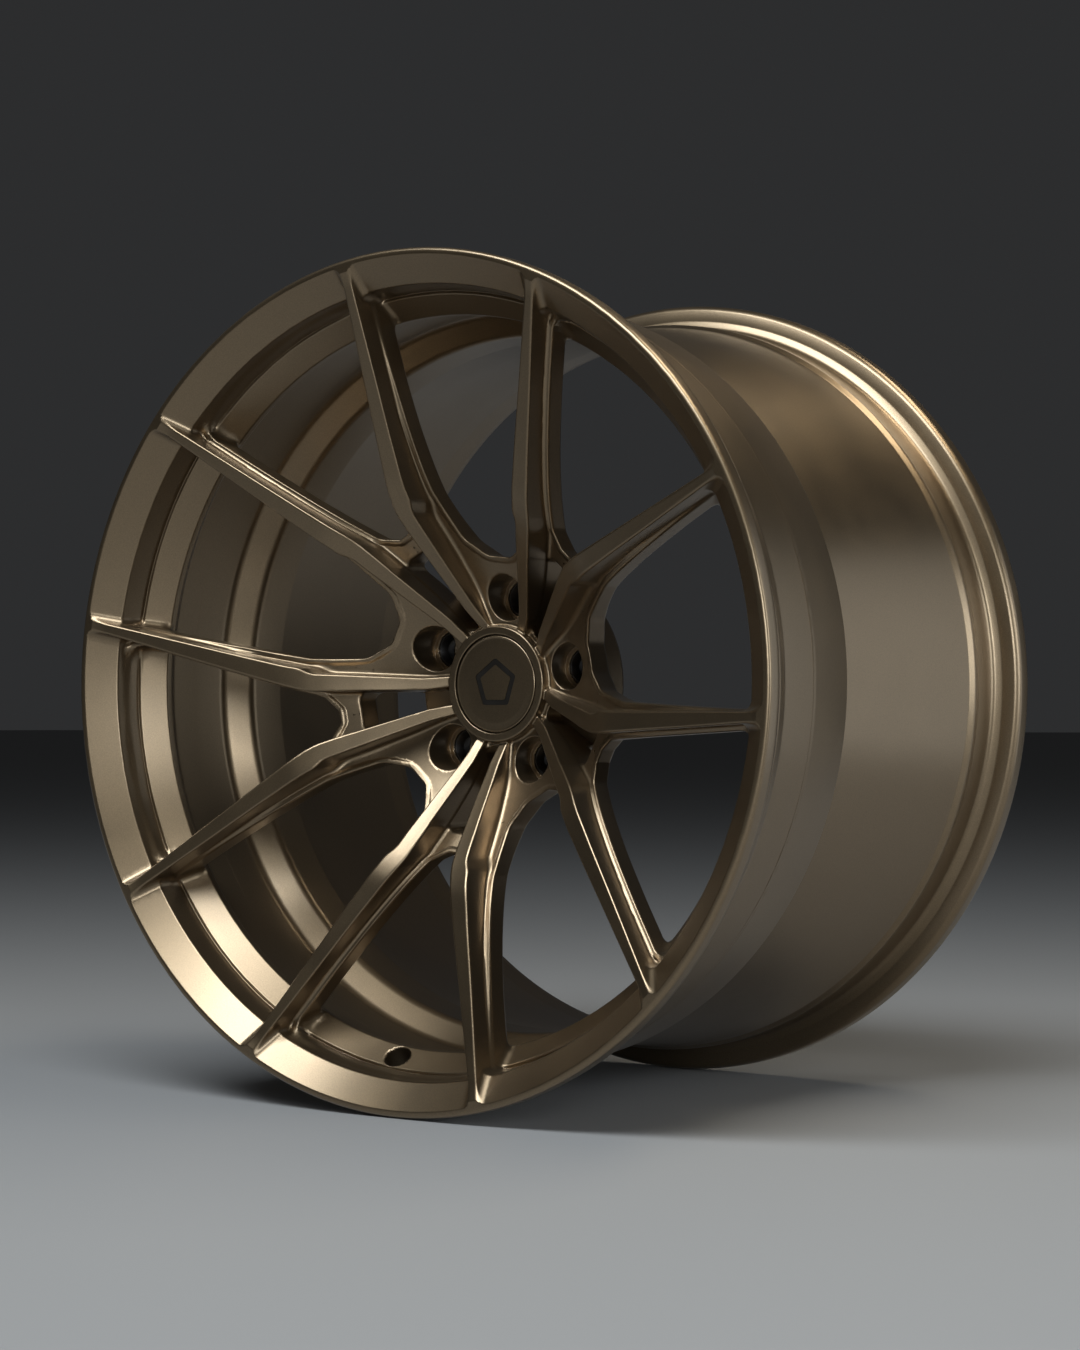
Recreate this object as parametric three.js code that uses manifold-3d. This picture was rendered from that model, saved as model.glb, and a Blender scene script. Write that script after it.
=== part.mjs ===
// A forged racing wheel for a 20 x 12 inch tyre: a deep face of five V pairs of spokes in a
// drop-centre rim, with pressed-in lug seats, a hub-centring ring and a snap-in centre cap.
// Millimetres. The wheel's axis is Y, its face looks along -Y, and the origin is on the axis
// halfway across the wheel's width.
import * as THREE from "three";
import { mergeVertices } from "three/addons/utils/BufferGeometryUtils.js";
import Module from "manifold-3d";

const wasm = await Module();
wasm.setup();

// Rim
const flangeRadius = 274;
const halfWidth = 169;
const beadSeatRadius = 256.4;
const wellRadius = 237.5;
const wallThickness = 6.2;
const wellFront = -29;
const wellBack = 101;
const lipRadius = 269.5;
const rimFacets = 60;
const smallFacets = 36;

// Spoke pattern: five lug axes, with a pair of spokes about the slot axis between each two
const pairCount = 5;
const pairPitch = (2 * Math.PI) / pairCount;
const firstLugAngle = THREE.MathUtils.degToRad(11.2);
const jointGap = 0.3;
const centreRadius = 92;
const slotEndRadius = 42;
const slotRootHalfWidth = 6;
const bridgeInnerRadius = 99;
const bridgeOuterRadius = 112;
const webEdgeRadius = 84;

// Hub
const bossRadius = 38.4;
const bossFace = -62.4;
const padRadius = 76;
const padFace = -22;
const slotPocketFloor = -40;
const boreRadius = 30.4;
const capRecessRadius = 32.8;
const capRecessFloor = -58;
const hubRingRadius = 36.3;
const hubRingFloor = -33;

// Lug bores
const lugCircleRadius = 114.3 / 2;
const counterboreRadius = 15;
const counterboreFloor = -40;
const seatBoreRadius = 12;
const seatBoreFloor = -28;
const studRadius = 7.4;

// Valve hole
const valvePair = 3;
const valveHoleRadius = 5.7;
const valveSpotRadius = 10;
const valveSpotDepth = 2.2;

// Centre cap
const capFaceRadius = 31.8;
const capFaceFront = -62;
const capFaceBack = -60.2;
const inlayDepth = 0.7;
const skirtRadius = 29.4;
const skirtThickness = 2.2;
const skirtEnd = -43;
const fingerCount = 6;
const fingerGap = 5;
const springWireRadius = 0.8;

const paint = new THREE.MeshStandardMaterial({ color: 0x6b5d49, roughness: 0.38, metalness: 0.85 });
const steel = new THREE.MeshStandardMaterial({ color: 0x6f7073, roughness: 0.35, metalness: 1 });
const alloy = new THREE.MeshStandardMaterial({ color: 0xa9abad, roughness: 0.4, metalness: 1 });
const darkEnamel = new THREE.MeshStandardMaterial({ color: 0x15130f, roughness: 0.5, metalness: 0.2 });
const plastic = new THREE.MeshStandardMaterial({ color: 0x1a1a1a, roughness: 0.6, metalness: 0 });

const point = (x, y) => new THREE.Vector2(x, y);

// A closed mesh as a solid: shared vertices are merged and flattened triangles dropped.
function toSolid(geometry) {
  geometry.deleteAttribute("normal");
  geometry.deleteAttribute("uv");
  const merged = mergeVertices(geometry, 1e-4);
  const corners = merged.index.array;
  const kept = [];
  for (let i = 0; i < corners.length; i += 3) {
    const [a, b, c] = [corners[i], corners[i + 1], corners[i + 2]];
    if (a !== b && b !== c && c !== a) kept.push(a, b, c);
  }
  const vertProperties = new Float32Array(merged.attributes.position.array);
  const triVerts = new Uint32Array(kept);
  return new wasm.Manifold(new wasm.Mesh({ numProp: 3, vertProperties, triVerts }));
}

function toMesh(name, solid, material) {
  const { vertProperties, triVerts } = solid.getMesh();
  const geometry = new THREE.BufferGeometry();
  geometry.setAttribute("position", new THREE.BufferAttribute(new Float32Array(vertProperties), 3));
  geometry.setIndex(new THREE.BufferAttribute(new Uint32Array(triVerts), 1));
  geometry.computeVertexNormals();
  const mesh = new THREE.Mesh(geometry, material);
  mesh.name = name;
  return mesh;
}

// A solid of revolution about Y. The profile (radius, y) runs rearwards along its outer side.
function turned(profile, facets) {
  return toSolid(new THREE.LatheGeometry([...profile, profile[0]], facets));
}

// A flat outline in the wheel's plane (x, z), given depth from yFront to yBack.
function slab(outline, yFront, yBack) {
  const geometry = new THREE.ExtrudeGeometry(new THREE.Shape(outline), {
    depth: yBack - yFront,
    bevelEnabled: false,
  });
  geometry.rotateX(Math.PI / 2);
  geometry.translate(0, yBack, 0);
  return toSolid(geometry);
}

function cylinder(radius, yFront, yBack, facets, x = 0, z = 0) {
  const geometry = new THREE.CylinderGeometry(radius, radius, yBack - yFront, facets);
  geometry.translate(x, (yFront + yBack) / 2, z);
  return toSolid(geometry);
}

const turnedTo = (outline, angle) => outline.map((p) => p.clone().rotateAround(point(0, 0), angle));
const lugAngle = (k) => firstLugAngle + k * pairPitch;
const slotAngle = (k) => lugAngle(k) + pairPitch / 2;
const deepFront = -halfWidth - 10;
const deepBack = 10;

// The face's three surfaces, as (radius, y): the spokes' front edge, the lower ridge that
// carries it and the webs between the lugs, and the back.
const frontLine = [
  point(40, -60), point(60, -74.5), point(90, -97), point(110, -111.5), point(120, -118),
  point(132, -124.5), point(150, -131), point(200, -147), point(268, -168.7),
];
const ridgeLine = [
  point(40, -55.5), point(60, -59), point(82, -70), point(110, -88), point(137, -105),
  point(160, -115.5), point(200, -129.5), point(240, -141),
];
const backLine = [
  point(60, -44), point(82, -50), point(96, -60), point(110, -72), point(137, -90),
  point(160, -101), point(200, -115), point(240, -126),
];

// The rim's inner side, front to rear, from the lip's face to where the barrel begins.
const lipLine = [
  point(lipRadius, -halfWidth),
  point(252.6, -153.8),
  point(248.5, -136.4),
  point(236.6, -121.4),
  point(236.6, -117),
  point(246, -108),
];

function arcPoints(centre, radius, from, to, steps) {
  const points = [];
  for (let i = 0; i <= steps; i += 1) {
    const angle = THREE.MathUtils.degToRad(from + ((to - from) * i) / steps);
    points.push(point(centre.x + radius * Math.cos(angle), centre.y + radius * Math.sin(angle)));
  }
  return points;
}

// One bead seat with its flange, from the flange's edge towards the well, for the front side.
function beadSide() {
  return [
    ...arcPoints(point(flangeRadius - 3, 3 - halfWidth), 3, -90, 0, 2),
    ...arcPoints(point(flangeRadius - 6, -159), 6, 0, 70, 2),
    point(262.5, -152.4),
    ...arcPoints(point(262.4, -146.4), 6, 240, 190, 1),
    point(beadSeatRadius - 1.5, -131),
    point(beadSeatRadius + 0.6, -127),
    point(beadSeatRadius + 0.6, -124),
  ];
}

function rimSolid() {
  const rearBead = beadSide().map((p) => point(p.x, -p.y)).reverse();
  const profile = [
    point(lipRadius, -halfWidth),
    ...beadSide(),
    point(254, -118),
    point(254, -84),
    point(252, -39),
    point(wellRadius + 1, -21),
    point(wellRadius, -14),
    point(254.4, 120),
    ...rearBead,
    point(266, halfWidth),
    point(250, 153),
    point(beadSeatRadius - wallThickness - 1, 147),
    point(248, 126),
    point(wellRadius - wallThickness, -8),
    point(wellRadius - wallThickness, -38),
    point(246, -54),
    ...lipLine.slice(1).reverse(),
  ];
  return turned(profile, rimFacets).subtract(valveCutter());
}

// The rim in three lengths: the front lip, the tapered barrel with its drop centre, and the rear
// flange.
function rimMeshes() {
  const rim = rimSolid();
  const length = (name, yFront, yBack) =>
    toMesh(name, rim.intersect(cylinder(flangeRadius + 10, yFront, yBack, rimFacets)), paint);
  return [
    length("rim_lip", deepFront, wellFront - jointGap / 2),
    length("rim_well", wellFront + jointGap / 2, wellBack - jointGap / 2),
    length("rim_rear_flange", wellBack + jointGap / 2, halfWidth + 10),
  ];
}

// The valve hole and its spot face, square to the sloping ledge inside the rim.
function valveCutter() {
  const ledgeOuter = lipLine[2];
  const ledgeInner = lipLine[3];
  const middle = ledgeOuter.clone().lerp(ledgeInner, 0.5);
  const slope = ledgeInner.clone().sub(ledgeOuter).angle();
  const place = (geometry) => {
    geometry.rotateZ(slope);
    geometry.translate(middle.x, middle.y, 0);
    geometry.rotateY(-slotAngle(valvePair));
    return toSolid(geometry);
  };
  const hole = new THREE.CylinderGeometry(valveHoleRadius, valveHoleRadius, 90, 20);
  const spot = new THREE.CylinderGeometry(valveSpotRadius, valveSpotRadius, 20, 24);
  spot.translate(0, 10 - valveSpotDepth, 0);
  return place(hole).add(place(spot));
}

// Half of a spoke pair's front band, from the hub to the rim, on the +v side of its slot axis
// (u runs outwards along the axis).
const slotSide = [
  point(52, slotRootHalfWidth), point(80, 11.2), point(104, 15.6), point(115, 18),
  point(122, 20.8), point(250, 87.5),
];
const lugSide = [
  point(247, 93.2), point(123.5, 36.9), point(117, 34.4), point(111, 29.2), point(100, 26.6),
  point(52, 14.6), point(30, 12),
];

function bandOutlines(k) {
  const half = [point(30, slotRootHalfWidth), ...slotSide, ...lugSide];
  const mirrored = half.map((p) => point(p.x, -p.y)).reverse();
  return [half, mirrored].map((outline) => turnedTo(outline, slotAngle(k)));
}

// The opening between two pairs, about a lug axis.
function lugWindow(k) {
  const side = [
    ...arcPoints(point(webEdgeRadius + 12, 11), 12, 180, 115, 4).slice(1),
    point(98, 25.5), point(110, 31.5), point(122, 36.8), point(262, 70.5),
  ];
  const outline = [point(webEdgeRadius, 0), ...side];
  const mirrored = side.map((p) => point(p.x, -p.y)).reverse();
  return turnedTo([...outline, ...mirrored], lugAngle(k));
}

// The V opening of one pair, from the bridge out to the rim.
function pairWindow(k) {
  const side = [
    ...arcPoints(point(bridgeOuterRadius + 8, 6), 8, 180, 110, 3).slice(1),
    point(122, 16.2), point(262, 90),
  ];
  const mirrored = side.map((p) => point(p.x, -p.y)).reverse();
  return turnedTo([point(bridgeOuterRadius, 0), ...side, ...mirrored], slotAngle(k));
}

// The narrow slot of one pair, from the boss out to the bridge.
function innerSlot(k) {
  const root = arcPoints(point(slotEndRadius + slotRootHalfWidth, 0), slotRootHalfWidth, 90, 180, 4);
  const upper = [point(bridgeInnerRadius, 0), point(bridgeInnerRadius, 14.2), point(80, 10.8), ...root];
  const lower = upper.slice(1, -1).map((p) => point(p.x, -p.y)).reverse();
  return turnedTo([...upper, ...lower], slotAngle(k));
}

function lugCutter(k) {
  const [x, z] = [Math.cos(lugAngle(k)), Math.sin(lugAngle(k))].map((c) => c * lugCircleRadius);
  return cylinder(counterboreRadius, deepFront, counterboreFloor, 24, x, z)
    .add(cylinder(seatBoreRadius, counterboreFloor - 1, seatBoreFloor, 20, x, z))
    .add(cylinder(studRadius, seatBoreFloor - 1, deepBack, 16, x, z));
}

// The whole machined face, before it is divided into its centre and five spoke pairs.
function faceSolid() {
  const bandEnvelope = turned([...frontLine, ...[...backLine].reverse()], rimFacets);
  const plate = turned([...ridgeLine, ...[...backLine].reverse()], rimFacets);
  const hub = turned(
    [
      point(0, bossFace), point(bossRadius - 1, bossFace), point(bossRadius, bossFace + 1),
      point(bossRadius + 1, -56), point(60.5, -59.3), point(65, -61.5), point(65, -46),
      point(padRadius, -46), point(padRadius, padFace - 2), point(padRadius - 2, padFace),
      point(0, padFace),
    ],
    rimFacets,
  );
  let face = plate.add(hub);
  for (let k = 0; k < pairCount; k += 1) {
    face = face.subtract(slab(lugWindow(k), deepFront, deepBack));
    face = face.subtract(slab(pairWindow(k), deepFront, deepBack));
    for (const outline of bandOutlines(k)) {
      face = face.add(slab(outline, deepFront, deepBack).intersect(bandEnvelope));
    }
  }
  for (let k = 0; k < pairCount; k += 1) {
    const slot = slab(innerSlot(k), deepFront, deepBack);
    const pocketFloor = cylinder(padRadius + 0.5, slotPocketFloor, deepBack, rimFacets);
    face = face.subtract(slot.subtract(pocketFloor)).subtract(lugCutter(k));
  }
  return face.subtract(centreBore());
}

function centreBore() {
  return turned(
    [
      point(0, deepFront), point(capRecessRadius, deepFront), point(capRecessRadius, capRecessFloor),
      point(boreRadius, capRecessFloor), point(boreRadius, hubRingFloor),
      point(hubRingRadius, hubRingFloor), point(hubRingRadius, deepBack), point(0, deepBack),
    ],
    smallFacets,
  );
}

// Everything outside the rim's inner side, less the joint gap: what the spokes end against.
function rimClearance() {
  const line = lipLine.map((p) => point(p.x - jointGap, p.y));
  const profile = [
    point(line[0].x, deepFront), point(flangeRadius + 10, deepFront),
    point(flangeRadius + 10, -90), point(246 - jointGap, -90), ...line.reverse(),
  ];
  return turned(profile, rimFacets);
}

function faceMeshes() {
  const face = faceSolid();
  const centre = face.intersect(cylinder(centreRadius, deepFront, deepBack, rimFacets));
  const outer = face.subtract(cylinder(centreRadius + jointGap, deepFront, deepBack, rimFacets));
  const spokes = outer.subtract(rimClearance());
  const meshes = [toMesh("forged_centre", centre, paint)];
  for (let k = 0; k < pairCount; k += 1) {
    const sector = turnedTo(
      [point(0, 0), ...arcPoints(point(0, 0), 330, -36, 36, 6)],
      slotAngle(k),
    );
    const pair = spokes.intersect(slab(sector, deepFront, deepBack));
    meshes.push(toMesh(`spoke_pair_${k + 1}`, pair, paint));
  }
  return meshes;
}

// A steel insert with a conical seat for the lug nut, at the bottom of each counterbore.
function lugSeat(k) {
  const front = counterboreFloor + jointGap;
  const back = seatBoreFloor - jointGap;
  const outer = seatBoreRadius - jointGap;
  const profile = [
    point(outer - 1.2, front), point(outer, front + 0.8), point(outer, back),
    point(studRadius, back), point(studRadius, front + 5),
  ];
  const ring = toMesh(`lug_seat_${k + 1}`, turned(profile, 20), steel);
  ring.position.set(Math.cos(lugAngle(k)) * lugCircleRadius, 0, Math.sin(lugAngle(k)) * lugCircleRadius);
  return ring;
}

function hubCentringRing() {
  const outer = hubRingRadius - jointGap;
  const profile = [
    point(outer, hubRingFloor + jointGap), point(outer, padFace - 0.6),
    point(outer - 1, padFace), point(33.3 + 1.2, padFace), point(33.3, padFace - 1.2),
    point(33.3, hubRingFloor + jointGap),
  ];
  return toMesh("hub_centring_ring", turned(profile, smallFacets), alloy);
}

// A plain pentagon outline, sunk into the cap's face.
function pentagonRing(outerRadius, innerRadius, yFront, yBack) {
  const corner = (radius) => (_, i) => {
    const angle = Math.PI / 2 + i * pairPitch;
    return point(radius * Math.cos(angle), radius * Math.sin(angle));
  };
  const outline = Array.from({ length: 5 }, corner(outerRadius));
  const hole = Array.from({ length: 5 }, corner(innerRadius));
  return slab(outline, yFront, yBack).subtract(slab(hole, yFront - 1, yBack + 1));
}

function capFace() {
  const disc = turned(
    [
      point(0, capFaceFront), point(capFaceRadius - 0.5, capFaceFront),
      point(capFaceRadius, capFaceFront + 0.5), point(capFaceRadius, capFaceBack),
      point(0, capFaceBack),
    ],
    smallFacets,
  );
  const groove = pentagonRing(17.3, 12.9, capFaceFront - 1, capFaceFront + inlayDepth + jointGap);
  return toMesh("cap_face", disc.subtract(groove), paint);
}

function capInlay() {
  const front = capFaceFront + 0.2;
  return toMesh("cap_inlay", pentagonRing(16.9, 13.3, front, front + inlayDepth - 0.2), darkEnamel);
}

function capClipBody() {
  const back = capFaceBack + jointGap;
  const floor = capRecessFloor - jointGap;
  const inner = skirtRadius - skirtThickness;
  let body = turned(
    [
      point(0, back), point(capFaceRadius - 0.4, back), point(capFaceRadius - 0.4, floor),
      point(skirtRadius, floor), point(skirtRadius, -49), point(skirtRadius + 0.5, -48),
      point(skirtRadius + 0.5, -46.5), point(skirtRadius - 1, skirtEnd), point(inner, skirtEnd),
      point(inner, floor), point(0, floor),
    ],
    smallFacets,
  );
  for (let i = 0; i < fingerCount; i += 1) {
    const gap = new THREE.BoxGeometry(12, 14, fingerGap);
    gap.translate(skirtRadius, skirtEnd - 4, 0);
    gap.rotateY((i * 2 * Math.PI) / fingerCount);
    body = body.subtract(toSolid(gap));
  }
  return toMesh("cap_clip_body", body, plastic);
}

function capSpringRing() {
  const radius = skirtRadius - skirtThickness - springWireRadius - jointGap;
  const ring = turned(arcPoints(point(radius, -46), springWireRadius, 0, 300, 5), smallFacets);
  return toMesh("cap_spring_ring", ring, steel);
}

const wheel = new THREE.Group();
wheel.add(...rimMeshes());
wheel.add(...faceMeshes());
for (let k = 0; k < pairCount; k += 1) wheel.add(lugSeat(k));
wheel.add(hubCentringRing());

const centreCap = new THREE.Group();
centreCap.add(capFace(), capInlay(), capClipBody(), capSpringRing());
wheel.add(centreCap);

export default wheel;
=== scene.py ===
import math

import bpy
import numpy as np
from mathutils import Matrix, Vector


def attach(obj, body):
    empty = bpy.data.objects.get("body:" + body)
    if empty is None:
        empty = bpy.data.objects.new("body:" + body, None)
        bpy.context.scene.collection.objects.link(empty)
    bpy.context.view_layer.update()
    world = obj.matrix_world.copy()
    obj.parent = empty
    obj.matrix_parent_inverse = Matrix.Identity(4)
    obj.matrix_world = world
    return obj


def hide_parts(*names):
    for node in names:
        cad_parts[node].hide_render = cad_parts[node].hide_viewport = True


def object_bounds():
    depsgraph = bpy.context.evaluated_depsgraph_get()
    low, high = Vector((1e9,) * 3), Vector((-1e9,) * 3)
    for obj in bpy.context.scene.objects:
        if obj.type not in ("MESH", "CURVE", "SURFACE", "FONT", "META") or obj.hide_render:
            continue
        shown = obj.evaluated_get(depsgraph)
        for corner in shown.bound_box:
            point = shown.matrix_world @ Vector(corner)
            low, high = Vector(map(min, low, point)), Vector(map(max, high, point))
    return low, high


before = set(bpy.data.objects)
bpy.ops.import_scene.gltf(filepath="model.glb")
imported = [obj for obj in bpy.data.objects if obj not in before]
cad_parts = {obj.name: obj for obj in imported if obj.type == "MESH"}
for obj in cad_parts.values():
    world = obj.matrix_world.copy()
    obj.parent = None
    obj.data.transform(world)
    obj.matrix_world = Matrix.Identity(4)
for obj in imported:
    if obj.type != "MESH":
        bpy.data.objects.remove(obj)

CAD_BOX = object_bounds()
MM = 0.001

# The wheel, in millimetres: its axis is Y, its face looks along -Y, and the frame's origin is
# on the axis halfway across the width.
FLANGE_RADIUS = 274.0
HALF_WIDTH = 169.0
BEAD_SEAT_RADIUS = 256.4
WELL_RADIUS = 237.5
WALL = 6.2
LIP_RADIUS = 269.5
SHOULDER_RADIUS = 254.0
SHOULDER_INNER = 246.0

# The barrel starts at SEAM_Y, over the face's end at FACE_END_Y, and is thicker by COVER a side.
SEAM_Y = -84.0
FACE_END_Y = -80.0
COVER = 0.04

# Five V pairs of spokes. One half of a pair is modelled, from its slot axis to the lug axis.
PAIRS = 5
HALF_SECTOR = math.pi / PAIRS
FIRST_LUG_ANGLE = math.radians(11.2)
VALVE_PAIR = 3
SLOT_END_RADIUS = 42.0
BRIDGE_INNER = 99.0
WEB_EDGE = 84.0
EDGE_BEAD_HEIGHT = 1.1
EDGE_BEAD_INSET = 1.8

# Hub and centre bore
BOSS_RADIUS = 38.4
BOSS_Y = -62.4
PAD_RADIUS = 76.0
PAD_Y = -22.0
POCKET_Y = -40.0
CAP_RECESS_RADIUS = 32.8
CAP_RECESS_Y = -58.0
BORE_RADIUS = 30.4
RING_SEAT_RADIUS = 36.3
RING_SEAT_Y = -33.0

# Lug bores and valve hole
LUG_CIRCLE = 57.15
COUNTERBORE_RADIUS = 15.0
LUG_SEAT_RADIUS = 12.0
LUG_SEAT_Y = -28.0
BOLT_HOLE_RADIUS = 7.4
VALVE_HOLE_RADIUS = 5.7
VALVE_SEAT_RADIUS = 8.6
VALVE_SEAT_DEPTH = 1.0

# Centre cap's mark, and the gap between it and its groove
MARK_OUTER = 17.1
MARK_INNER = 13.1
MARK_GAP = 0.2

# Rounding radii of the machined edges and of the fillets between surfaces
EDGE = 1.3
BACK_EDGE = 2.0
LUG_EDGE = 0.9
BORE_EDGE = 0.6
VALVE_EDGE = 0.8
WALL_FILLET = 3.0
HUB_FILLET = 2.0
RIM_FILLET = 6.0

# Finishes
BRONZE = (0.240, 0.169, 0.091)
BRONZE_DEEP = (0.180, 0.124, 0.065)
FLOOR_GREY = (0.26, 0.26, 0.26)
GRAIN_HEIGHT = 0.0002

# Colours of the lights
DAYLIGHT = (0.89, 0.95, 1.0)
LAMPLIGHT = (1.0, 0.88, 0.68)

# Camera: where it stands, the way it looks, and its lens on a 36 mm frame
CAMERA_PLACE = (1.141, -1.620, -0.0248)
CAMERA_TURN = 35.34
CAMERA_PITCH = 0.91
CAMERA_LENS = 78.08


# ---------------------------------------------------------------- curves and outlines


def smooth_curve(points):
    """A smooth height over the radius through (radius, y) points, with straight ends."""
    xs, ys = np.array(points, float).T
    slopes = np.gradient(ys, xs)

    def at(x):
        inside = np.clip(x, xs[0], xs[-1])
        i = np.clip(np.searchsorted(xs, inside) - 1, 0, len(xs) - 2)
        step = xs[i + 1] - xs[i]
        t = (inside - xs[i]) / step
        rise = (3 - 2 * t) * t * t
        y = ys[i] * (1 - rise) + ys[i + 1] * rise
        y = y + step * t * (1 - t) * ((1 - t) * slopes[i] - t * slopes[i + 1])
        end_slope = np.where(x < xs[0], slopes[0], slopes[-1])
        return y + (x - inside) * end_slope

    return at


def rounded(points, steps=5):
    """A closed outline of (a, b) or (a, b, radius) corners, its radiused corners as arcs."""
    outline = []
    for i, corner in enumerate(points):
        here = np.array(corner[:2], float)
        if len(corner) < 3:
            outline.append(here)
            continue
        before = np.array(points[i - 1][:2], float) - here
        after = np.array(points[(i + 1) % len(points)][:2], float) - here
        long_before, long_after = np.linalg.norm(before), np.linalg.norm(after)
        before, after = before / long_before, after / long_after
        half_angle = math.acos(np.clip(before @ after, -1, 1)) / 2
        reach = min(corner[2] / math.tan(half_angle), 0.48 * long_before, 0.48 * long_after)
        radius = reach * math.tan(half_angle)
        middle = before + after
        centre = here + middle / np.linalg.norm(middle) * radius / math.sin(half_angle)
        first = here + before * reach - centre
        last = here + after * reach - centre
        turn = math.atan2(first[0] * last[1] - first[1] * last[0], first @ last)
        for step in range(steps + 1):
            angle = turn * step / steps
            c, s = math.cos(angle), math.sin(angle)
            arm = (c * first[0] - s * first[1], s * first[0] + c * first[1])
            outline.append(centre + arm)
    return np.array(outline)


def arc(centre, radius, start, end, steps):
    angles = np.radians(np.linspace(start, end, steps + 1))
    return [(centre[0] + radius * math.cos(a), centre[1] + radius * math.sin(a)) for a in angles]


def mirrored(side):
    """A closed outline that is symmetric about its own axis, from its upper side."""
    return side + [(p[0], -p[1], *p[2:]) for p in reversed(side)]


def outline_distance(a, b, outline):
    """Distance from (a, b) to a closed outline, negative inside it."""
    nearest = np.full(a.shape, 1e12)
    inside = np.zeros(a.shape, bool)
    for (a0, b0), (a1, b1) in zip(outline, np.roll(outline, -1, axis=0)):
        da, db = a1 - a0, b1 - b0
        length = da * da + db * db
        if length < 1e-12:
            continue
        t = np.clip(((a - a0) * da + (b - b0) * db) / length, 0, 1)
        nearest = np.minimum(nearest, (a - a0 - t * da) ** 2 + (b - b0 - t * db) ** 2)
        if abs(db) > 1e-12:
            crosses = ((b0 > b) != (b1 > b)) & (a < a0 + (b - b0) * da / db)
            inside ^= crosses
    return np.where(inside, -1.0, 1.0) * np.sqrt(nearest)


def join(a, b, radius):
    """Both solids, with a fillet of this radius in the corner between them."""
    bend = np.hypot(np.maximum(radius - a, 0), np.maximum(radius - b, 0))
    return np.maximum(radius, np.minimum(a, b)) - bend


def common(a, b, radius):
    """What two solids share, with this radius on the edge between them."""
    bend = np.hypot(np.maximum(radius + a, 0), np.maximum(radius + b, 0))
    return np.minimum(-radius, np.maximum(a, b)) + bend


# ---------------------------------------------------------------- the forging's shape

FRONT = smooth_curve(
    [(40, -60), (60, -74.5), (90, -97), (110, -111.5), (120, -118), (132, -124.5),
     (150, -131), (200, -147), (268, -168.7)]
)
RIDGE = smooth_curve(
    [(40, -55.5), (60, -59), (82, -70), (110, -88), (137, -105), (160, -115.5),
     (200, -129.5), (240, -141)]
)
BACK = smooth_curve(
    [(60, -44), (82, -50), (96, -60), (110, -72), (137, -90), (160, -101), (200, -115),
     (240, -126)]
)

# In slot coordinates: u runs out along the slot's axis and v across it. The windows' outer ends
# are inside the lip.
SLOT_SIDE = [(30, 6), (52, 6), (80, 11.2, 60), (104, 15.6, 40), (115, 18, 20), (122, 20.8, 20),
             (254.4, 89.8)]
LUG_SIDE = [(30, 12), (52, 14.6, 60), (100, 26.6, 40), (111, 29.2, 14), (117, 34.4, 12),
            (123.5, 36.9, 20), (252, 95.5)]
BAND = rounded(SLOT_SIDE + LUG_SIDE[::-1])
PAIR_WINDOW = rounded(
    mirrored([(112, 4, 3), (118.5, 14.6, 8), (239.7, 78, 17), (248.4, 52.8), (253.4, 26)])
)
SLOT = rounded(
    mirrored([(SLOT_END_RADIUS, 5.9, 5.5), (52, 6.1, 20), (80, 10.9, 60), (BRIDGE_INNER, 14.4, 5)])
)

# In lug coordinates: U runs out along the lug's axis and V across it.
LUG_WINDOW = rounded(
    mirrored([(WEB_EDGE, 9, 10), (93, 23.3, 12), (110, 31.5, 30), (122, 36.8, 30), (300, 81.2)])
)


def bead_side(hump=0.6):
    """The front flange and bead seat, from the lip's face to a hump of this height."""
    return [
        *arc((FLANGE_RADIUS - 3, 3 - HALF_WIDTH), 3, -90, 0, 8),
        *arc((FLANGE_RADIUS - 6, 10 - HALF_WIDTH), 6, 0, 68, 8),
        (262.5, -152.4, 4),
        (256.3, -149.5, 5),
        (BEAD_SEAT_RADIUS - 1.5, -131, 8),
        (BEAD_SEAT_RADIUS + hump, -127, 3),
        (BEAD_SEAT_RADIUS + hump, -124, 3),
    ]


LIP = rounded(
    [(LIP_RADIUS, -HALF_WIDTH, 0.8), *bead_side(-0.9), (SHOULDER_RADIUS, -118, 4),
     (SHOULDER_RADIUS, FACE_END_Y), (SHOULDER_INNER, FACE_END_Y), (SHOULDER_INNER, -105.5, 4),
     (236.6, -117.2, 1.0), (236.6, -121.4, 1.2), (248.6, -136.9, 1.0), (250.4, -134.6, 1.2),
     (252.6, -153.8, 1.3)]
)
# Everything inside the rim's outer side.
OUTER_SIDE = rounded(
    [(-20, -HALF_WIDTH), *bead_side(-0.9), (SHOULDER_RADIUS, -118, 4), (SHOULDER_RADIUS, 0),
     (-20, 0)]
)
# Where the ribs and plate end inside the rim's section.
RIM_CORE = np.array(
    [(-20, -180), (269.2, -180), (269.2, -168), (265.5, -160), (258, -154.6), (254.2, -150),
     (252, -140), (251.5, -118), (249.5, -108), (249.5, -40), (-20, -40)]
)
HUB = rounded(
    [(-20, BOSS_Y), (BOSS_RADIUS, BOSS_Y, 1.2), (BOSS_RADIUS + 0.6, -50), (PAD_RADIUS, -50),
     (PAD_RADIUS, PAD_Y, 2), (-20, PAD_Y)]
)

# The ledge that the valve hole goes through, as the (radius, y) of its outer and inner edges.
VALVE_LEDGE = ((248.6, -136.9), (236.6, -121.4))


def slope_of(curve, r):
    return curve(r + 0.5) - curve(r - 0.5)


def above(curve, r, y, rise=0.0):
    """Distance in front of a surface of revolution, negative behind it."""
    return (curve(r) - rise - y) / np.sqrt(1 + slope_of(curve, r) ** 2)


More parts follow.
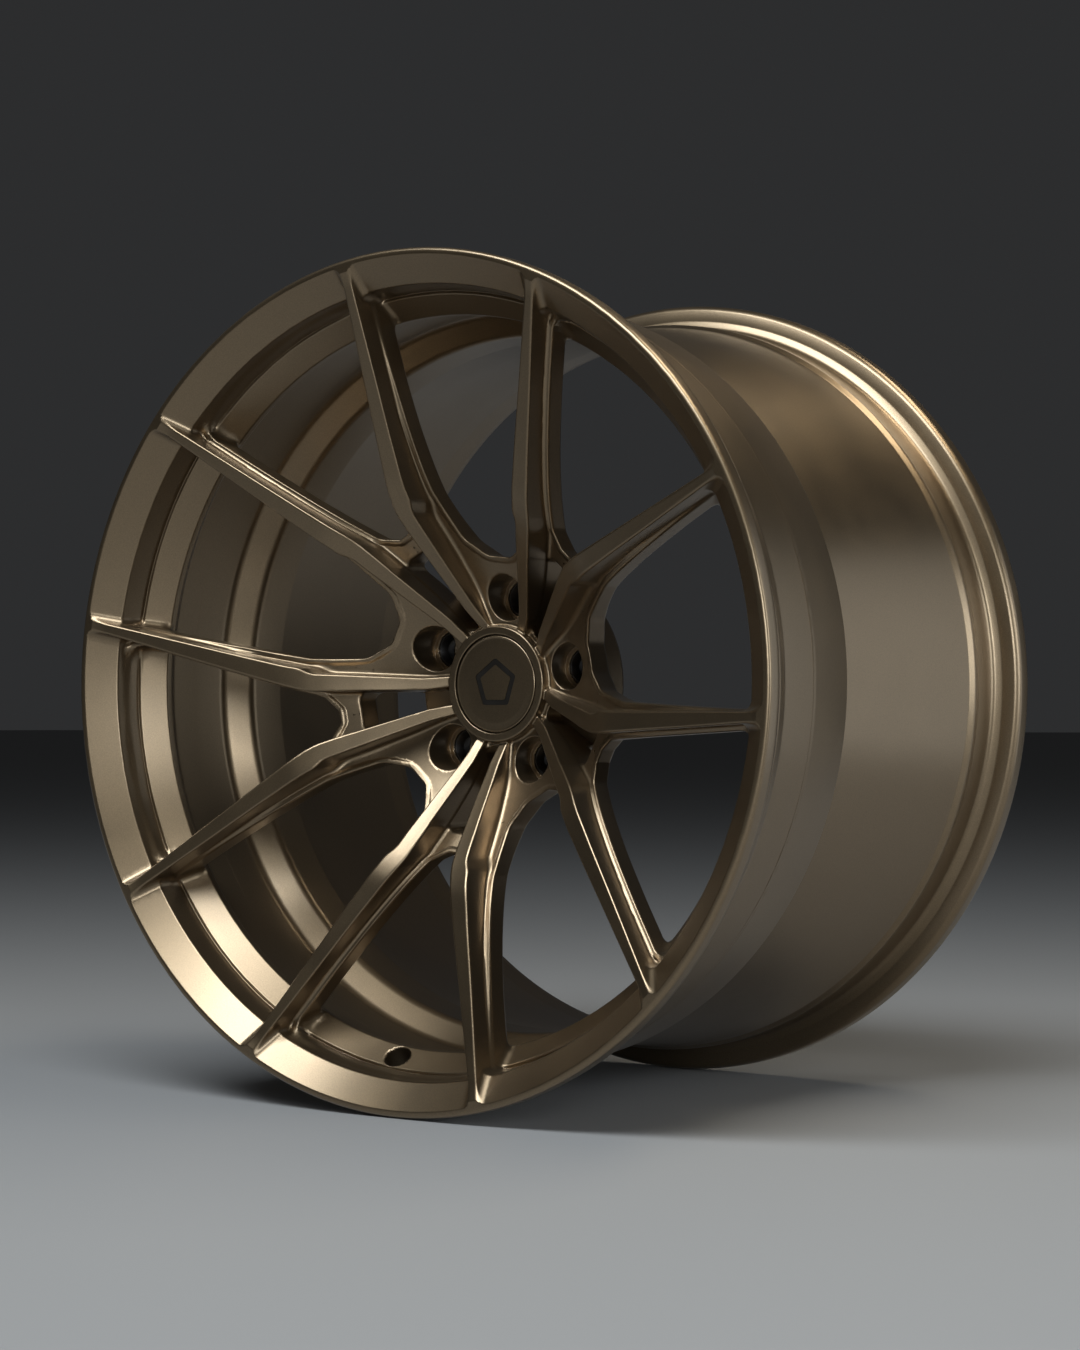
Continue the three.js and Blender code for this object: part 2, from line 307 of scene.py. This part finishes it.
def edge_bead(openings, r):
    """Height of the low bead along the plate's edges, which grows from the hub outwards."""
    across = np.clip((2.6 - np.abs(openings - EDGE_BEAD_INSET)) / 1.6, 0, 1)
    along = np.clip((r - PAD_RADIUS - 2) / 8, 0, 1)
    return EDGE_BEAD_HEIGHT * across * across * (3 - 2 * across) * along


def spokes_distance(r, y, u, v, lug_u, lug_v):
    """The ribs, and the lower plate that they stand on with its windows."""
    openings = np.minimum(
        outline_distance(u, v, PAIR_WINDOW), outline_distance(lug_u, lug_v, LUG_WINDOW)
    )
    behind = -above(BACK, r, y)
    plate = common(-openings, above(RIDGE, r, y, edge_bead(openings, r)), EDGE)
    plate = common(plate, behind, BACK_EDGE)
    rib = common(outline_distance(u, v, BAND), above(FRONT, r, y), EDGE)
    rib = np.maximum(rib, behind)
    spokes = join(plate, rib, WALL_FILLET)
    return np.maximum(spokes, outline_distance(r, y, RIM_CORE))


def lug_cut(y, lug_u, lug_v):
    """The counterbore from the front, the bolt hole, and the seat's bore between them."""
    from_axis = np.hypot(lug_u - LUG_CIRCLE, lug_v)
    counterbore = np.maximum(from_axis - COUNTERBORE_RADIUS, y - POCKET_Y)
    seat_bore = np.maximum(from_axis - LUG_SEAT_RADIUS, y - LUG_SEAT_Y)
    return np.minimum(np.minimum(counterbore, seat_bore), from_axis - BOLT_HOLE_RADIUS)


def bore_cut(r, y):
    """The cap's recess, the centre bore, and the seat of the centring ring."""
    recess = np.maximum(r - CAP_RECESS_RADIUS, y - CAP_RECESS_Y)
    ring_seat = np.maximum(r - RING_SEAT_RADIUS, RING_SEAT_Y - y)
    return np.minimum(np.minimum(recess, r - BORE_RADIUS), ring_seat)


def valve_cut(x, y, z):
    """The valve hole and the shallow seat around it, square to the sloping ledge."""
    (outer_r, outer_y), (inner_r, inner_y) = VALVE_LEDGE
    slope = math.atan2(inner_y - outer_y, inner_r - outer_r)
    c, s = math.cos(slope), math.sin(slope)
    dx = x - 0.5 * (outer_r + inner_r)
    dy = y - 0.5 * (outer_y + inner_y)
    from_axis = np.hypot(dx * c + dy * s, z)
    depth = dx * s - dy * c
    seat = np.maximum(from_axis - VALVE_SEAT_RADIUS, -VALVE_SEAT_DEPTH - depth)
    return np.minimum(from_axis - VALVE_HOLE_RADIUS, seat)


def forging_distance(points, valve):
    """Distance to the face's surface from points (n, 3) about a pair's slot axis, which is X."""
    x, y, z = points.T
    r = np.hypot(x, z)
    angle = np.abs(np.arctan2(z, x))
    angle = np.where(angle > HALF_SECTOR, 2 * HALF_SECTOR - angle, angle)
    u, v = r * np.cos(angle), r * np.sin(angle)
    lug_u, lug_v = r * np.cos(HALF_SECTOR - angle), r * np.sin(HALF_SECTOR - angle)
    spokes = spokes_distance(r, y, u, v, lug_u, lug_v)
    hub = outline_distance(r, y, HUB)
    solid = join(join(spokes, hub, HUB_FILLET), outline_distance(r, y, LIP), RIM_FILLET)
    pocket = np.minimum(y - POCKET_Y, PAD_RADIUS + 0.5 - r)
    slot = np.maximum(outline_distance(u, v, SLOT), pocket)
    solid = common(solid, -slot, EDGE)
    solid = common(solid, -lug_cut(y, lug_u, lug_v), LUG_EDGE)
    solid = common(solid, -bore_cut(r, y), BORE_EDGE)
    if valve:
        solid = common(solid, -valve_cut(u, y, v), VALVE_EDGE)
    return np.maximum(solid, outline_distance(r, y, OUTER_SIDE))


# ---------------------------------------------------------------- the forging's mesh


def graded(count, fine_start, fine_end, strength=0.75):
    """Places from 0 to 1 that lie closer together at the fine ends."""
    s = np.linspace(0, 1, count + 1)
    if fine_start and fine_end:
        return s - strength * np.sin(2 * math.pi * s) / (2 * math.pi)
    if fine_end:
        return (1 + strength) * s - strength * s * s
    return (1 - strength) * s + strength * s * s


def angle_along(points, r):
    """The angle from the axis at which a side crosses each radius."""
    points = np.array([p[:2] for p in points], float)
    t = np.linspace(0, len(points) - 1, 400)
    a = np.interp(t, range(len(points)), points[:, 0])
    b = np.interp(t, range(len(points)), points[:, 1])
    return np.interp(r, np.hypot(a, b), np.arctan2(b, a))


def mesh_radii():
    """Radii of the grid, closest together in the lip and widest along the straight ribs."""
    spans = [(27.5, 46, 17), (46, 92, 34), (92, 130, 30), (130, 228, 24), (228, 276.5, 54)]
    return np.concatenate([np.linspace(a, b, n, endpoint=False) for a, b, n in spans] + [[276.5]])


def mesh_angles(r, valve, reach=13.0):
    """Columns that follow the ribs' sides, closest together there and for a reach beyond."""
    slot_side = angle_along(SLOT_SIDE, r)
    lug_side = angle_along(LUG_SIDE, r)
    inner = slot_side - 3 / r
    window = angle_along([(112, 11), (122, 16.2), (262, 90)], r)
    pair_ridge = np.where(r < 122, inner, np.minimum(window, inner))
    lug_ridge = HALF_SECTOR - angle_along([(98, 25.5), (110, 31.5), (122, 36.8), (262, 70.5)], r)
    near_hub = np.radians(np.interp(r, [74, 84.5, 88, 93.5, 98], [24, 27.5, 25.3, 22.5, 21.5]))
    lug_ridge = np.where(r < 98, near_hub, lug_ridge)
    keys = [
        0 * r,
        np.maximum(pair_ridge - reach / r, 0.5 * pair_ridge),
        pair_ridge,
        slot_side,
        lug_side,
        lug_ridge,
        np.minimum(lug_ridge + reach / r, 0.5 * (lug_ridge + HALF_SECTOR)),
        HALF_SECTOR + 0 * r,
    ]
    first = graded(30, True, True) if valve else graded(6, False, True)
    steps = [
        first, graded(6, True, True), graded(4, False, False, 0), graded(10, True, True),
        graded(9, True, True), graded(6, True, True), graded(6, True, False),
    ]
    return mesh_lines(keys, steps)


def mesh_depths(r):
    """Depths that follow the ribs' front, the plate's front and the back."""
    front = np.where(r < 39.5, BOSS_Y, FRONT(r))
    front = np.maximum(front, -HALF_WIDTH)
    ridge = np.where(r < 60, np.interp(r, [38.5, 40, 60], [-58, -55.8, -59]), RIDGE(r))
    ridge = np.where(r > 241, -137.0, ridge)
    back = np.interp(r, [76.3, 77.6], [PAD_Y, BACK(77.6)])
    back = np.where(r > 77.6, BACK(r), back)
    back = np.where(r > 231, np.interp(r, [231, 234.5], [BACK(231.0), FACE_END_Y]), back)
    middle = np.where(r < 77, POCKET_Y, 0.5 * (ridge + back))
    middle = np.where(r > 234.5, -119.3, middle)
    keys = [front - 4, front, ridge, middle, back, back + 4]
    steps = [
        graded(3, False, True), graded(13, True, True), graded(11, True, True),
        graded(9, True, True), graded(3, True, False),
    ]
    return mesh_lines(keys, steps)


def mesh_lines(keys, steps):
    """Grid lines between each two key lines, at the given places from 0 to 1."""
    columns = [keys[0]]
    for low, high, places in zip(keys[:-1], keys[1:], steps):
        columns += [low + (high - low) * place for place in places[1:]]
    return np.stack(columns, axis=1)


def grid_corners(valve):
    """The grid around half a pair, with one more column beyond each of its sides."""
    radii = mesh_radii()
    angles = mesh_angles(radii, valve)
    angles = np.hstack([-angles[:, 1:2], angles, 2 * HALF_SECTOR - angles[:, -2:-1]])
    depths = mesh_depths(radii)
    shape = (len(radii), angles.shape[1], depths.shape[1])
    x = (radii[:, None] * np.cos(angles))[:, :, None] + np.zeros(shape)
    z = (radii[:, None] * np.sin(angles))[:, :, None] + np.zeros(shape)
    y = depths[:, None, :] + np.zeros(shape)
    return np.stack([x, y, z], axis=-1)


def edge_crossings(corners, value, axis):
    """Which grid edges along an axis cross the surface, which start inside it, and where."""
    low = [slice(None)] * 3
    high = [slice(None)] * 3
    low[axis], high[axis] = slice(0, -1), slice(1, None)
    f0, f1 = value[tuple(low)], value[tuple(high)]
    crosses = (f0 < 0) != (f1 < 0)
    share = np.where(crosses, f0 / np.where(crosses, f0 - f1, 1), 0)[..., None]
    place = corners[tuple(low)] * (1 - share) + corners[tuple(high)] * share
    return crosses, f0 < 0, place


def add_to_cells(total, count, crosses, place, axis):
    """Adds each crossing to the four cells around its grid edge."""
    first, second = [d for d in range(3) if d != axis]
    for step_a in (0, 1):
        for step_b in (0, 1):
            part = [slice(None)] * 3
            part[first] = slice(step_a, count.shape[first] + step_a)
            part[second] = slice(step_b, count.shape[second] + step_b)
            hit = crosses[tuple(part)]
            total += np.where(hit[..., None], place[tuple(part)], 0)
            count += hit


def half_pair(valve):
    """Surface of half a pair by surface nets: points, quads, and which quads lie on its sides."""
    corners = grid_corners(valve)
    shape = corners.shape[:3]
    value = forging_distance(corners.reshape(-1, 3), valve).reshape(shape)
    cells = tuple(n - 1 for n in shape)
    total = np.zeros(cells + (3,))
    count = np.zeros(cells)
    crossings = []
    for axis in range(3):
        crosses, starts_inside, place = edge_crossings(corners, value, axis)
        add_to_cells(total, count, crosses, place, axis)
        crossings.append((crosses, starts_inside))
    index = np.full(cells, -1)
    used = count > 0
    index[used] = np.arange(used.sum())
    points = settle(total[used] / count[used][:, None], valve)
    quads, on_side = net_quads(index, crossings, shape)
    return points, quads, on_side


def settle(points, valve, rounds=4):
    """Moves points onto the surface along its gradient."""
    for _ in range(rounds):
        value = forging_distance(points, valve)
        slope = gradient(points, valve)
        step = value / np.maximum((slope**2).sum(1), 0.2)
        points = points - np.clip(step, -0.6, 0.6)[:, None] * slope
    return points


def gradient(points, valve, reach=0.04):
    """How fast the distance grows along each axis, at each point."""
    slope = np.empty_like(points)
    for axis in range(3):
        offset = np.zeros(3)
        offset[axis] = reach
        ahead = forging_distance(points + offset, valve)
        slope[:, axis] = (ahead - forging_distance(points - offset, valve)) / (2 * reach)
    return slope


def net_quads(index, crossings, shape):
    """A quad through the four cells around every crossed grid edge, facing outwards."""
    quads, on_side = [], []
    for axis, (crosses, starts_inside) in enumerate(crossings):
        b, c = [d for d in range(3) if d != axis]
        place = np.argwhere(crosses)
        keep = np.ones(len(place), bool)
        for d in (b, c):
            keep &= (place[:, d] > 0) & (place[:, d] < shape[d] - 1)
        if axis == 1:
            keep &= (place[:, 1] > 0) & (place[:, 1] < shape[1] - 2)
        place = place[keep]
        inside = starts_inside[tuple(place.T)]
        ring = []
        for step_b, step_c in ((1, 1), (0, 1), (0, 0), (1, 0)):
            cell = place.copy()
            cell[:, b] -= step_b
            cell[:, c] -= step_c
            ring.append(index[tuple(cell.T)])
        ring = np.stack(ring, axis=1)
        flip = inside if axis != 1 else ~inside
        ring[flip] = ring[flip][:, ::-1]
        quads.append(ring)
        side = (place[:, 1] == 1) | (place[:, 1] == shape[1] - 2)
        on_side.append(side if axis != 1 else np.zeros(len(place), bool))
    return np.concatenate(quads), np.concatenate(on_side)


def face_mesh():
    """The whole face and lip from ten half pairs, with the shape's own normals."""
    halves = {valve: half_pair(valve) for valve in (False, True)}
    normals = {}
    for valve, (points, _, _) in halves.items():
        slope = gradient(points, valve)
        normals[valve] = slope / np.linalg.norm(slope, axis=1)[:, None]
    all_points, all_normals, all_quads = [], [], []
    start = 0
    for k in range(PAIRS):
        valve = k == VALVE_PAIR
        points, quads, on_side = halves[valve]
        angle = FIRST_LUG_ANGLE + (2 * k + 1) * HALF_SECTOR
        c, s = math.cos(angle), math.sin(angle)
        for flip in (1, -1):
            turned = np.array([[c, 0, -s * flip], [0, 1, 0], [s, 0, c * flip]]).T
            all_points.append(points @ turned)
            all_normals.append(normals[valve] @ turned)
            own = quads if flip == 1 else quads[~on_side][:, ::-1]
            all_quads.append(own + start)
            start += len(points)
    points, quads = np.concatenate(all_points), np.concatenate(all_quads)
    _, first, same = np.unique(np.round(points, 3), axis=0, return_index=True, return_inverse=True)
    quads = same.reshape(-1)[quads]
    return points[first] * MM, quads, np.concatenate(all_normals)[first]


def add_object(name, points, faces, body, material, normals=None, crease=30):
    """A mesh that rides a body, with given normals or else sharp above a crease angle."""
    mesh = bpy.data.meshes.new(name)
    mesh.from_pydata([tuple(p) for p in points], [], [tuple(int(i) for i in f) for f in faces])
    mesh.validate()
    mesh.polygons.foreach_set("use_smooth", [True] * len(mesh.polygons))
    if normals is None:
        mesh.set_sharp_from_angle(angle=math.radians(crease))
    elif len(mesh.vertices) == len(normals):
        mesh.normals_split_custom_set_from_vertices([tuple(n) for n in normals])
    mesh.materials.append(material)
    thing = bpy.data.objects.new(name, mesh)
    bpy.context.scene.collection.objects.link(thing)
    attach(thing, body)
    return thing


def build_face(material):
    points, quads, normals = face_mesh()
    # Only the points that a quad uses are kept.
    used, places = np.unique(quads, return_inverse=True)
    quads = places.reshape(-1, 4)
    face = add_object(
        "forged_face", points[used], quads, "wheel", material, normals[used]
    )
    spokes = [f"spoke_pair_{k + 1}" for k in range(PAIRS)]
    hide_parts("forged_centre", "rim_lip", *spokes)
    return face


# ---------------------------------------------------------------- turned pieces


def turned_mesh(outline, segments, x=0.0, z=0.0):
    """A closed outline of (radius, y), in millimetres, turned about an axis along Y."""
    outline = np.array(outline, float)
    angles = np.linspace(0, 2 * math.pi, segments, endpoint=False)
    r, y = outline[:, 0], outline[:, 1]
    points = np.stack(
        [
            np.outer(np.cos(angles), r) + x,
            np.tile(y, (segments, 1)),
            np.outer(np.sin(angles), r) + z,
        ],
        axis=-1,
    )
    n = len(outline)
    faces = []
    for i in range(segments):
        a, b = i * n, ((i + 1) % segments) * n
        faces += [(a + j, a + (j + 1) % n, b + (j + 1) % n, b + j) for j in range(n)]
    return points.reshape(-1, 3) * MM, faces


def build_barrel(material):
    rear_bead = [(p[0], -p[1], *p[2:]) for p in reversed(bead_side())]
    seat_inner = BEAD_SEAT_RADIUS - WALL - 1
    well_inner = WELL_RADIUS - WALL
    shoulder_inner = SHOULDER_INNER - COVER
    outline = rounded(
        [
            (SHOULDER_RADIUS + COVER, SEAM_Y), (252, -39, 2), (WELL_RADIUS + 1, -21, 5),
            (WELL_RADIUS, -14, 5), (254.4, 120, 4), *rear_bead, (266, HALF_WIDTH, 1),
            (250, 153, 4), (seat_inner, 147, 4), (248, 126, 20), (well_inner, -8, 20),
            (well_inner, -38, 10), (shoulder_inner, -54, 10), (shoulder_inner, SEAM_Y),
        ]
    )
    points, faces = turned_mesh(outline, 720)
    barrel = add_object("forged_barrel", points, faces, "wheel", material)
    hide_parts("rim_well", "rim_rear_flange")
    return barrel


def build_lug_seats(material):
    back_y = LUG_SEAT_Y - 0.3
    outline = rounded(
        [(BOLT_HOLE_RADIUS, back_y, 0.3), (BOLT_HOLE_RADIUS, -34.7, 0.3), (10.5, -39.7, 0.25),
         (11.7, -39.7, 0.5), (11.7, back_y, 0.3)],
        steps=3,
    )
    for k in range(PAIRS):
        angle = FIRST_LUG_ANGLE + 2 * k * HALF_SECTOR
        points, faces = turned_mesh(
            outline, 72, LUG_CIRCLE * math.cos(angle), LUG_CIRCLE * math.sin(angle)
        )
        seat = add_object(f"steel_seat_{k + 1}", points, faces, "wheel", material)
        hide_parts(f"lug_seat_{k + 1}")


def build_hub_ring(material):
    outline = rounded(
        [(33.3, -32.7, 0.3), (36, -32.7, 0.3), (36, -23, 0.4), (35, PAD_Y, 0.3),
         (34.5, PAD_Y, 0.3), (33.3, -23.2, 0.4)],
        steps=3,
    )
    points, faces = turned_mesh(outline, 160)
    ring = add_object("centring_ring", points, faces, "wheel", material)
    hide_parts("hub_centring_ring")


# ---------------------------------------------------------------- centre cap


def pentagon(radius, corner):
    angles = [math.pi / 2 + i * 2 * HALF_SECTOR for i in range(5)]
    return rounded([(radius * math.cos(a), radius * math.sin(a), corner) for a in angles], steps=4)


def flat_ring(outer, inner, y_front, y_back):
    """A closed flat ring between two outlines with equally many points, its edges square."""
    n = len(outer)
    loops = [(outer, y_front), (inner, y_front), (inner, y_back), (outer, y_back)]
    points = [(a * MM, y * MM, b * MM) for loop, y in loops for a, b in loop]
    faces = []
    for step in range(4):
        first, second = step * n, (step + 1) % 4 * n
        faces += [
            (first + i, first + (i + 1) % n, second + (i + 1) % n, second + i) for i in range(n)
        ]
    return points, faces


def cap_outline():
    """Half the section of the cap's face: a slightly crowned disc inside a low rim."""
    return rounded(
        [(0.01, -61.9), (26, -61.9, 30), (30.2, -61.7, 2), (31.2, -62, 0.5), (31.8, -61.5, 0.5),
         (31.8, -60.2, 0.3), (0.01, -60.2)],
        steps=4,
    )


def cut_groove(cap):
    """Cuts the pentagon's groove into the cap's face."""
    outer = pentagon(MARK_OUTER + MARK_GAP, 2.2)
    inner = pentagon(MARK_INNER - MARK_GAP, 1.6)
    points, faces = flat_ring(outer, inner, -64, -61.1)
    groove_mesh = bpy.data.meshes.new("groove")
    groove_mesh.from_pydata(points, [], faces)
    groove = bpy.data.objects.new("groove", groove_mesh)
    bpy.context.scene.collection.objects.link(groove)
    cut = cap.modifiers.new("groove", "BOOLEAN")
    cut.object = groove
    cut.solver = "EXACT"
    bpy.context.view_layer.update()
    cut_mesh = bpy.data.meshes.new_from_object(
        cap.evaluated_get(bpy.context.evaluated_depsgraph_get())
    )
    cap.modifiers.clear()
    cap.data = cut_mesh
    bpy.data.objects.remove(groove)
    cut_mesh.set_sharp_from_angle(angle=math.radians(30))


def build_cap(paint, enamel):
    points, faces = turned_mesh(cap_outline(), 192)
    cap = add_object("cap_disc", points, faces, "centre_cap", paint)
    cut_groove(cap)
    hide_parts("cap_face")
    points, faces = flat_ring(pentagon(MARK_OUTER, 2.1), pentagon(MARK_INNER, 1.7), -61.7, -61.15)
    inlay = add_object("cap_mark", points, faces, "centre_cap", enamel)
    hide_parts("cap_inlay")


# ---------------------------------------------------------------- materials


def new_material(name, color, metallic, roughness):
    material = bpy.data.materials.new(name)
    material.use_nodes = True
    shader = material.node_tree.nodes["Principled BSDF"]
    shader.inputs["Base Color"].default_value = (*color, 1)
    shader.inputs["Metallic"].default_value = metallic
    shader.inputs["Roughness"].default_value = roughness
    return material, material.node_tree, shader


def noise(tree, scale, detail=3.0, roughness=0.6):
    place = tree.nodes.new("ShaderNodeTexCoord")
    texture = tree.nodes.new("ShaderNodeTexNoise")
    texture.inputs["Scale"].default_value = scale
    texture.inputs["Detail"].default_value = detail
    texture.inputs["Roughness"].default_value = roughness
    tree.links.new(place.outputs["Object"], texture.inputs["Vector"])
    return texture.outputs["Fac"]


def spread(tree, source, low, high):
    """Maps a noise to a range, from its usual 0.3 to 0.7."""
    node = tree.nodes.new("ShaderNodeMapRange")
    node.inputs["From Min"].default_value = 0.3
    node.inputs["From Max"].default_value = 0.7
    node.inputs["To Min"].default_value = low
    node.inputs["To Max"].default_value = high
    tree.links.new(source, node.inputs["Value"])
    return node.outputs["Result"]


def mix_colors(tree, factor, first, second):
    node = tree.nodes.new("ShaderNodeMix")
    node.data_type = "RGBA"
    node.inputs["A"].default_value = (*first, 1)
    node.inputs["B"].default_value = (*second, 1)
    tree.links.new(factor, node.inputs["Factor"])
    return node.outputs["Result"]


def add_grain(tree, shader, height, strength):
    bump = tree.nodes.new("ShaderNodeBump")
    bump.inputs["Strength"].default_value = strength
    bump.inputs["Distance"].default_value = GRAIN_HEIGHT
    tree.links.new(height, bump.inputs["Height"])
    tree.links.new(bump.outputs["Normal"], shader.inputs["Normal"])


def bronze_paint():
    """Satin bronze powder coat: metal flake under a fine, slightly uneven clear surface."""
    material, tree, shader = new_material("satin_bronze", BRONZE, 0.97, 0.34)
    flake = noise(tree, 1400, 2.0)
    tone = mix_colors(tree, spread(tree, flake, 0, 1), BRONZE_DEEP, BRONZE)
    tree.links.new(tone, shader.inputs["Base Color"])
    tree.links.new(spread(tree, noise(tree, 18), 0.31, 0.38), shader.inputs["Roughness"])
    add_grain(tree, shader, noise(tree, 900, 2.0), 0.10)
    shader.inputs["Coat Weight"].default_value = 1.0
    shader.inputs["Coat Roughness"].default_value = 0.30
    return material


def machined_metal(name, color, roughness, grain):
    material, tree, shader = new_material(name, color, 1.0, roughness)
    tree.links.new(
        spread(tree, noise(tree, 220), roughness - 0.07, roughness + 0.09),
        shader.inputs["Roughness"],
    )
    add_grain(tree, shader, noise(tree, grain, 4.0), 0.12)
    return material


def enamel_paint():
    material, tree, shader = new_material("dark_enamel", (0.012, 0.010, 0.008), 0.2, 0.35)
    tree.links.new(spread(tree, noise(tree, 90), 0.30, 0.42), shader.inputs["Roughness"])
    add_grain(tree, shader, noise(tree, 700), 0.08)
    return material


def moulded_plastic():
    material, tree, shader = new_material("clip_plastic", (0.018, 0.018, 0.018), 0.0, 0.5)
    tree.links.new(spread(tree, noise(tree, 60), 0.45, 0.58), shader.inputs["Roughness"])
    add_grain(tree, shader, noise(tree, 1200), 0.15)
    return material


# ---------------------------------------------------------------- stage, light and camera


def build_floor(half_size=60):
    z = CAD_BOX[0][2] - 0.0005
    signs = [(-1, -1), (1, -1), (1, 1), (-1, 1)]
    mesh = bpy.data.meshes.new("floor")
    mesh.from_pydata([(a * half_size, b * half_size, z) for a, b in signs], [], [(0, 1, 2, 3)])
    material, _, _ = new_material("floor", FLOOR_GREY, 0.0, 0.6)
    mesh.materials.append(material)
    floor = bpy.data.objects.new("floor", mesh)
    bpy.context.scene.collection.objects.link(floor)


def area_light(name, place, aim, size, power, color):
    data = bpy.data.lights.new(name, "AREA")
    data.shape = "RECTANGLE"
    data.size, data.size_y = size
    data.energy = power
    data.color = color
    light = bpy.data.objects.new(name, data)
    light.location = place
    light.rotation_euler = (Vector(aim) - Vector(place)).to_track_quat("-Z", "Y").to_euler()
    bpy.context.scene.collection.objects.link(light)


def build_lights():
    world = bpy.data.worlds.new("studio")
    world.use_nodes = True
    background = world.node_tree.nodes["Background"]
    background.inputs["Color"].default_value = (0.80, 0.82, 0.85, 1)
    background.inputs["Strength"].default_value = 0.032
    bpy.context.scene.world = world
    area_light("overhead", (0.1, -1.3, 2.1), (0, 0, 0), (2.4, 0.9), 82, DAYLIGHT)
    area_light("front_right", (1.9, -1.75, 0.45), (0, -0.1, 0), (0.6, 0.9), 18, DAYLIGHT)
    area_light("top_back", (0.55, 0.3, 1.1), (0.1, 0, 0.2), (0.9, 0.25), 6, LAMPLIGHT)
    area_light("right", (1.9, 0.2, 0.30), (0.2, 0, 0), (0.8, 0.9), 9, DAYLIGHT)
    area_light("rear_right", (0.95, 0.7, 0.1), (0.25, 0, 0), (0.4, 0.9), 1.0, DAYLIGHT)


def build_camera():
    data = bpy.data.cameras.new("camera")
    data.lens = CAMERA_LENS
    data.sensor_width = 36
    data.sensor_fit = "AUTO"
    data.clip_end = 200
    camera = bpy.data.objects.new("camera", data)
    camera.location = CAMERA_PLACE
    camera.rotation_euler = (
        math.radians(90 + CAMERA_PITCH), 0, math.radians(CAMERA_TURN),
    )
    bpy.context.scene.collection.objects.link(camera)
    bpy.context.scene.camera = camera


def set_material(node, material):
    """Gives a CAD piece that keeps its own mesh another material."""
    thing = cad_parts[node]
    thing.data.materials.clear()
    thing.data.materials.append(material)


paint = bronze_paint()
# Nearly black steel, far darker than bare steel, so that the seats at the bottom of the deep lug
# bores look dark: painted shade in the bores. The cap's spring ring takes the same steel.
seat_steel = machined_metal("seat_steel", (0.055, 0.052, 0.050), 0.42, 500)
ring_alloy = machined_metal("ring_alloy", (0.62, 0.63, 0.65), 0.32, 600)
build_face(paint)
build_barrel(paint)
build_lug_seats(seat_steel)
build_hub_ring(ring_alloy)
build_cap(paint, enamel_paint())
set_material("cap_clip_body", moulded_plastic())
set_material("cap_spring_ring", seat_steel)
build_floor()
build_lights()
build_camera()
bpy.context.scene.view_settings.view_transform = "Standard"
